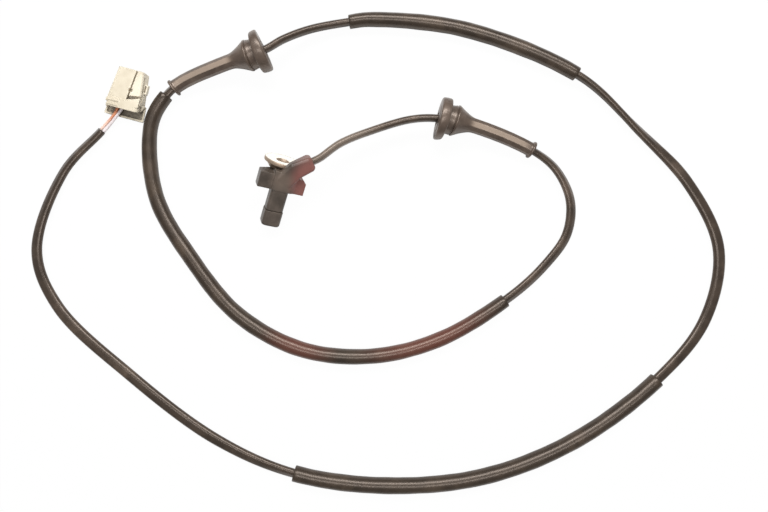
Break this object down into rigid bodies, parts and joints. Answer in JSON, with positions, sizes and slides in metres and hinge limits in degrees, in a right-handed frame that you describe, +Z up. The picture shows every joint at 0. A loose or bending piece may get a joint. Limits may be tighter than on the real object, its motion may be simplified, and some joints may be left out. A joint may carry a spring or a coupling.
{
  "type": "wheel speed sensor with harness",
  "caption": "Wheel speed sensor for a car: moulded probe with a bushed bolt lug, a long cable with sleeving and rubber grommets, and a pale plastic connector, laid flat in a spiral.",
  "frame": {"origin": "on the bench under the middle of the sensor head's bounding box", "axes": "+Z up from the bench; the probe points along -Y and slightly down; +X to the right seen from behind the head"},
  "size_m": [0.4488, 0.3313, 0.0281],
  "materials": {
    "black_plastic": "satin, lightly scuffed",
    "cap_plastic": "satin",
    "bush_metal": "bright, turned",
    "carrier_plastic": "moulded",
    "chip_epoxy": "moulded",
    "magnet": "sintered",
    "tinned_metal": "tinned",
    "copper_alloy": "bright",
    "core_orange": "smooth",
    "core_pale": "smooth",
    "cable_jacket": "satin, slightly dusty",
    "grommet_rubber": "satin, slightly dusty",
    "sleeving": "smooth, satin",
    "pale_plastic": "moulded, slightly yellowed",
    "lock_plastic": "moulded"
  },
  "bodies": {
    "root": {"sensor_body": "black_plastic", "probe_cap": "cap_plastic", "mounting_bush": "bush_metal", "chip_carrier": "carrier_plastic", "sensing_chip": "chip_epoxy", "bias_magnet": "magnet", "lead_left": "tinned_metal", "lead_right": "tinned_metal", "crimp_left": "copper_alloy", "crimp_right": "copper_alloy", "core_left": "core_orange", "core_right": "core_pale", "cable": "cable_jacket", "grommet_inner": "grommet_rubber", "grommet_outer": "grommet_rubber", "sleeve_inner": "sleeving", "sleeve_upper": "sleeving", "sleeve_lower": "sleeving", "wire_orange": "core_orange", "wire_pale": "core_pale", "connector_housing": "pale_plastic", "terminal_lock": "lock_plastic", "terminal_left": "tinned_metal", "terminal_right": "tinned_metal"}
  },
  "joints": []
}
